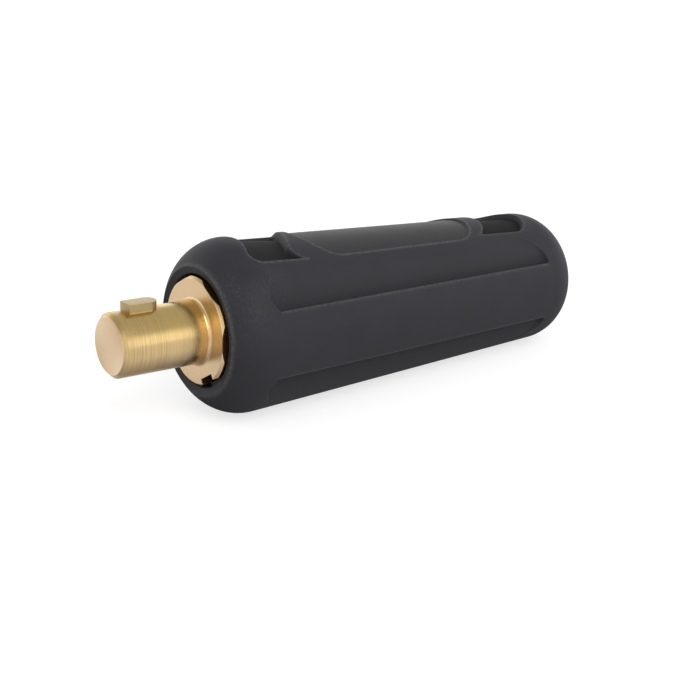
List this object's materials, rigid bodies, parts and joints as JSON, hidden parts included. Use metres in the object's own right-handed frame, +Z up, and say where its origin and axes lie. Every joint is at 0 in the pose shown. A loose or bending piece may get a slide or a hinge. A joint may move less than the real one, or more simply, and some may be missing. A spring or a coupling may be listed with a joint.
{
  "type": "welding cable plug",
  "caption": "Bayonet-type welding cable plug: a brass contact with a lugged pin, flange and hollow barrel in a tapering ribbed rubber sleeve.",
  "frame": {"origin": "centre of the flange's front face, at the root of the contact pin", "axes": "+X along the plug from the pin to the cable, +Z up through the bayonet lug"},
  "size_m": [0.1153, 0.0362, 0.0361],
  "materials": {
    "contact_brass": "turned and milled, slightly tarnished",
    "screw_steel": "black oxide",
    "ferrule_copper": "bright rolled copper sheet",
    "sleeve_rubber": "moulded, satin"
  },
  "bodies": {
    "contact": {"contact_plug": "contact_brass", "wire_ferrule": "ferrule_copper"},
    "sleeve": {"rubber_sleeve": "sleeve_rubber"},
    "front_screw": {"clamp_screw_front": "screw_steel"},
    "rear_screw": {"clamp_screw_rear": "screw_steel"}
  },
  "joints": [
    {"name": "sleeve_slide", "type": "slide", "parent": "contact", "child": "sleeve", "axis": [1, 0, 0], "range_m": [0, 0.06]},
    {"name": "front_screw_travel", "type": "slide", "parent": "contact", "child": "front_screw", "axis": [0, 0, -1], "range_m": [0, 0.003], "deforming": ["wire_ferrule"]},
    {"name": "rear_screw_travel", "type": "slide", "parent": "contact", "child": "rear_screw", "axis": [0, 0, -1], "range_m": [0, 0.003], "deforming": ["wire_ferrule"]}
  ]
}
